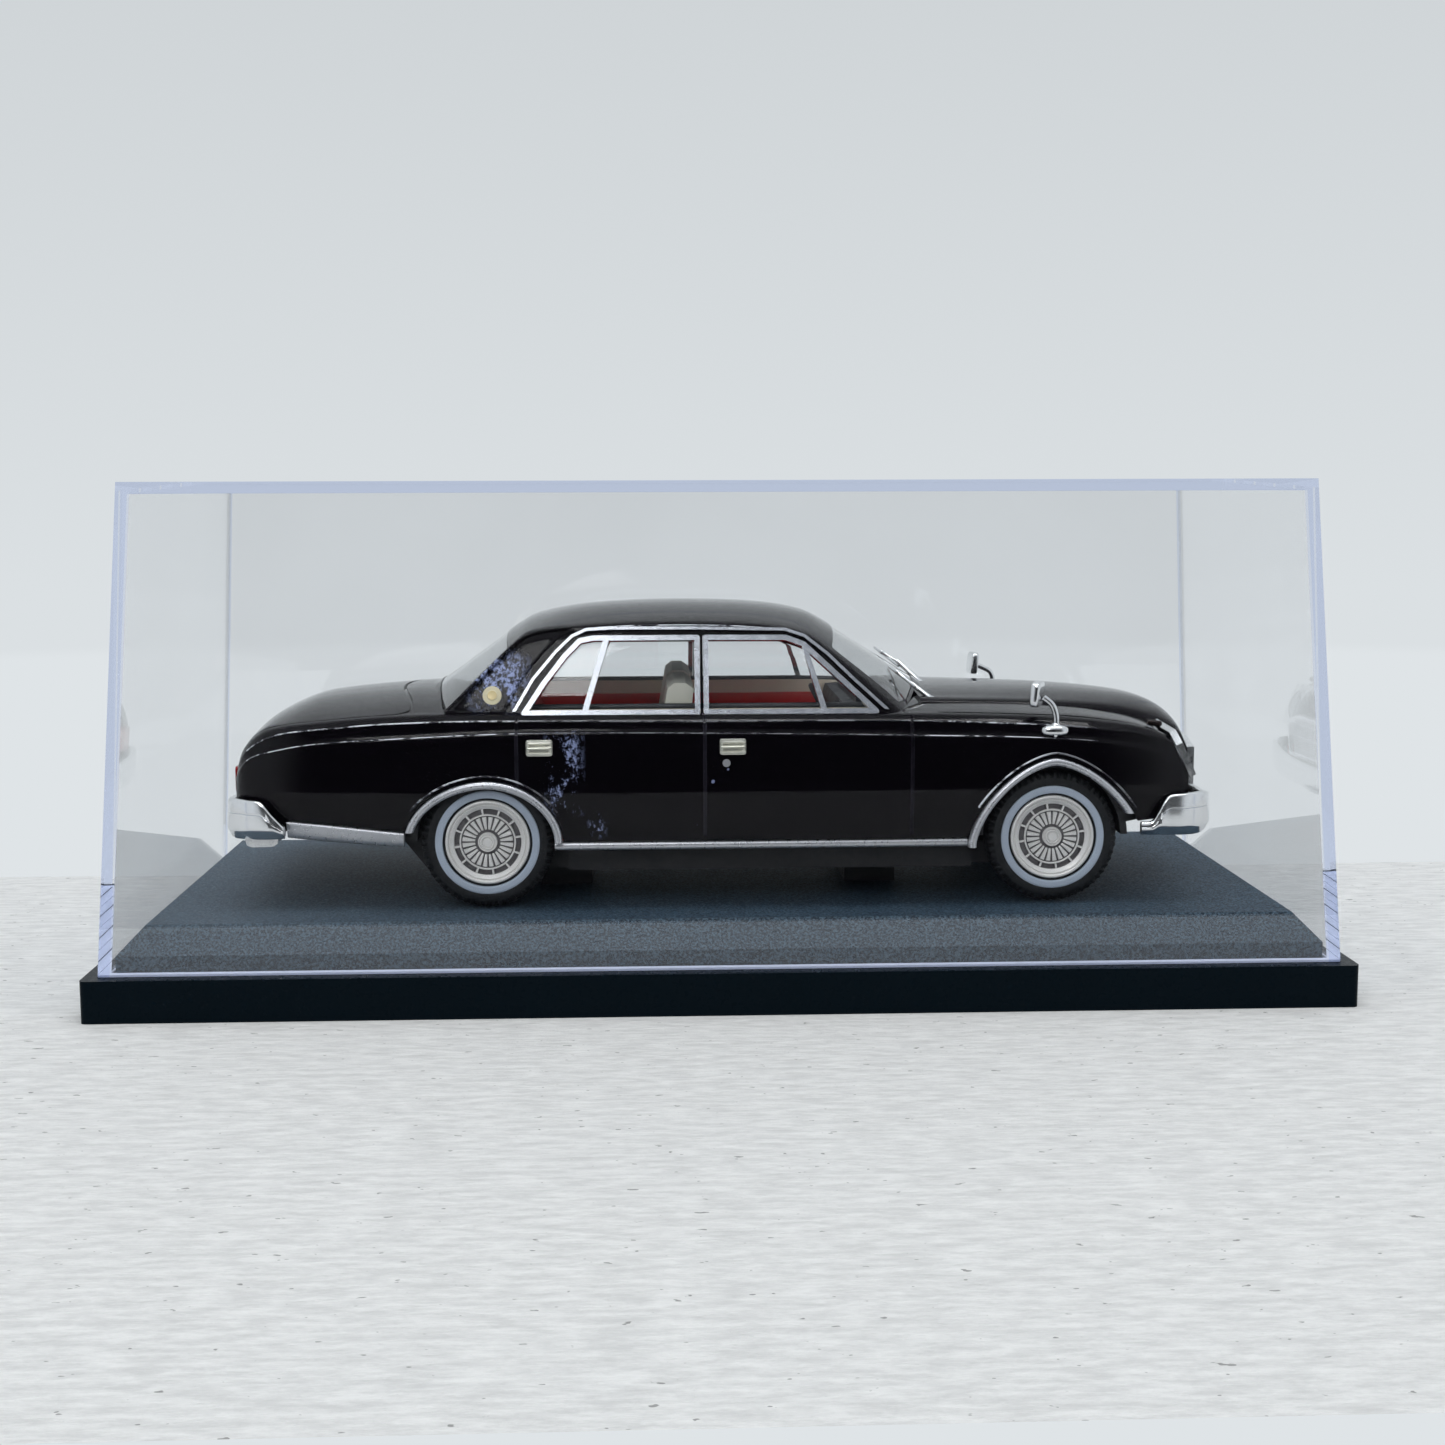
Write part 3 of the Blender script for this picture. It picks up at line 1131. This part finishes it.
def handle(x, side, nu=66, nv=44):
    """A handle as a grid in relief, closed at its back."""
    verts = []
    for j in range(nv + 1):
        for i in range(nu + 1):
            u, v = HANDLE_L * i / nu, HANDLE_H * j / nv
            verts.append((x + u, side * (HANDLE_ROOT + handle_height(u, v)), HANDLE_LO[2] - AXLE_Z + v))
    n = len(verts)
    verts += [(v[0], side * (HANDLE_ROOT - 0.1), v[2]) for v in verts]
    w = nu + 1
    faces = []
    for j in range(nv):
        for i in range(nu):
            q = (j * w + i, j * w + i + 1, (j + 1) * w + i + 1, (j + 1) * w + i)
            faces += [q, tuple(n + k for k in q)]
    loop = list(range(w)) + [j * w + nu for j in range(1, nv + 1)]
    loop += [nv * w + i for i in range(nu - 1, -1, -1)] + [j * w for j in range(nv - 1, 0, -1)]
    faces += [(a, b, n + b, n + a) for a, b in zip(loop, loop[1:] + loop[:1])]
    return make("handle", verts, faces)


handles = [handle(x, side) for side in (-1, 1) for x in (HANDLE_LO[0], HANDLE_HI[0] - HANDLE_L)]
finish(handles, "door_pulls", "plated", "door_handles", angle=40)

for side, hand in ((-1, "right"), (1, "left")):
    y, far = side * 20.85, (side + 1) // 2
    stem = [(39, y, 12.9), (39.05, y, 14.3), (38.6, y * 0.995, 15.7), (37.6 - far * 0.7, y * 0.99, 16.6)]
    parts = [blob("foot", (38.9, y, 12.75), (1.66, 0.85, 0.68), 0.8),
             bar("stem", spline(stem, 5), 0.36, 14),
             blob("knuckle", (39, y, 13.3), (0.6, 0.55, 0.4)),
             blob("bolt", (38.9, y + side * 0.1, 12.3), (0.3, 0.6, 0.4), 0.7),
             blob("head", (36.9 - far * 0.8, side * 20.2, 17), (0.55, 1.75 - far * 0.25, 1.5), 0.4,
                  turn=5 if far else -24, tilt=6)]
    finish(parts, f"mirror_fine_{hand}", "chrome", f"fender_mirror_{hand}", angle=50)

wiper_parts = []
for spots in (((25.6, -12.6, 15.7), (23.2, -11.5, 17.5), (21.7, -10.4, 18.75)),
              ((26.4, -0.1, 16.2), (23.3, 2.1, 18.95), (21.5, 3.8, 20.0))):
    pivot, elbow, tip = [np.array(p) for p in spots]
    wiper_parts += [bar("arm", [pivot, elbow], 0.3, 12), bar("arm", [elbow, tip], 0.17, 10),
                    bar("blade", [tip + [1.7, -3.6, -1.5], tip + [-0.6, 2.8, 0.35]], 0.16, 10),
                    blob("pivot", pivot - [0, 0, 0.1], (0.5, 0.5, 0.45)), blob("knob", tip, (0.3, 0.3, 0.3))]
finish(wiper_parts, "wipers_fine", "chrome", "wipers", angle=50)

# ---- the room's light ----


def room_light():
    """A pale backdrop, and a room that is dark low down on the side behind the camera."""
    world = bpy.data.worlds.new("room")
    world.use_nodes = True
    SCENE.world = world
    g = Nodes(world.node_tree)
    out = g.add("ShaderNodeOutputWorld")
    bg = g.add("ShaderNodeBackground")
    g.link(bg.outputs[0], out.inputs["Surface"])
    wx, wy, wz = xyz(g, g.add("ShaderNodeTexCoord").outputs["Generated"])
    path = g.add("ShaderNodeLightPath").outputs

    wall = g.mix(g.band(wz, -0.05, 0.27, smooth=False), lin(219, 224, 227), lin(206, 211, 214))
    seen = g.mix(g.band(wz, -0.083, -0.076), lin(223, 228, 231), wall)
    dark = g.most(g.band(wy, -0.7, 0.25, 0.0, 0.9), g.band(wz, 0.25, 0.75),
                  g.band(g.math("ABSOLUTE", wx), 0.4, 0.68, 0.0, 0.9))
    lit = g.mix(dark, (0.01, 0.011, 0.013, 1), (0.76, 0.8, 0.84, 1))

    # the backdrop is seen straight, through the cover, along the cover's edges, and in what faces it
    in_edge = g.times(g.math("GREATER_THAN", path["Glossy Depth"], 1.5),
                      g.math("LESS_THAN", path["Transmission Depth"], 3.5))
    bounced = g.times(path["Glossy Depth"], g.math("SUBTRACT", 1.0, in_edge))
    straight = g.math("LESS_THAN", g.math("ADD", bounced, path["Diffuse Depth"]), 0.5)
    through = g.times(path["Is Transmission Ray"], straight)
    beyond = g.times(g.most(path["Is Glossy Ray"], path["Is Transmission Ray"]), g.band(wy, 0.0, 0.25))
    g.link(g.mix(g.most(path["Is Camera Ray"], through, beyond), lit, seen), bg.inputs["Color"])
    bg.inputs["Strength"].default_value = 1.0


def area(name, place, size, power, aim=(0, 0, 0.02)):
    light = bpy.data.lights.new(name, "AREA")
    light.shape = "RECTANGLE"
    light.size, light.size_y = size
    light.energy = power
    ob = link(bpy.data.objects.new(name, light))
    ob.location = place
    ob.rotation_euler = (Vector(aim) - Vector(place)).to_track_quat("-Z", "Y").to_euler()


room_light()
area("ceiling_panel", (0.01, -0.09, 0.62), (0.60, 0.14), 1.45)
area("front_fill", (-0.16, -0.62, 0.40), (0.26, 0.18), 0.6)
SCENE.cycles.max_bounces = 24
SCENE.cycles.glossy_bounces = 16
SCENE.cycles.transmission_bounces = 20
SCENE.cycles.transparent_max_bounces = 16

# ---- table ----


def table_finish():
    """A pale, finely grained top with dark specks."""
    mat, g, _, bsdf, co = principled("table_top")
    grain = g.noise(co, 900, 6, 0.72, (0.25, 1.0, 1.0))
    specks = g.band(g.noise(co, 1100, 2, 0.6, (0.5, 1.0, 1.0)), 0.69, 0.72)
    col = g.mix(g.band(grain, 0.3, 0.7), (0.90, 0.90, 0.885, 1), (0.70, 0.70, 0.69, 1))
    col = g.mix(g.times(specks, 0.75), col, (0.22, 0.22, 0.21, 1))
    g.link(col, bsdf.inputs["Base Color"])
    g.bump(grain, 0.6, 0.0016, bsdf)
    bsdf.inputs["Roughness"].default_value = 0.75
    bsdf.inputs["Specular IOR Level"].default_value = 0.2
    return mat


TABLE_HALF, TABLE_FRONT, TABLE_BACK = 1.2, -0.128, 0.051
me = bpy.data.meshes.new("table")
me.from_pydata([(-TABLE_HALF, TABLE_FRONT, 0), (TABLE_HALF, TABLE_FRONT, 0), (TABLE_HALF, TABLE_BACK, 0),
                (-TABLE_HALF, TABLE_BACK, 0)], [], [(0, 1, 2, 3)])
table = link(bpy.data.objects.new("table", me))
table.data.materials.append(table_finish())
table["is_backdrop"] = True

# ---- camera, at the photograph's place and angle ----

CAMERA_PLACE = (-0.008541, -0.243104, 0.058985)
YAW, PITCH, ROLL = 0.03842, 0.12157, -0.00317   # to the right, down, and round the view
LENS, SENSOR = 47.93, 36

forward = Vector((math.sin(YAW) * math.cos(PITCH), math.cos(YAW) * math.cos(PITCH), -math.sin(PITCH)))
level = Vector((math.cos(YAW), -math.sin(YAW), 0))
upright = level.cross(forward)
across = level * math.cos(ROLL) + upright * math.sin(ROLL)
upward = -level * math.sin(ROLL) + upright * math.cos(ROLL)
lens = bpy.data.cameras.new("camera")
lens.lens = LENS
lens.sensor_width = SENSOR
lens.clip_start = 0.01
camera = link(bpy.data.objects.new("camera", lens))
stand = Matrix((across, upward, -forward)).transposed().to_4x4()
stand.translation = Vector(CAMERA_PLACE)
camera.matrix_world = stand
SCENE.camera = camera
SCENE.view_settings.view_transform = "Standard"

# ---- the size of what was loaded and of what is shown ----


def plain(v):
    if isinstance(v, dict):
        return {k: plain(x) for k, x in v.items()}
    if hasattr(v, "__len__") and not isinstance(v, str):
        return [plain(x) for x in v]
    return float(v) if isinstance(v, (int, float)) else v


{"at_load": plain(AT_LOAD), "before_finish": plain(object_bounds())}
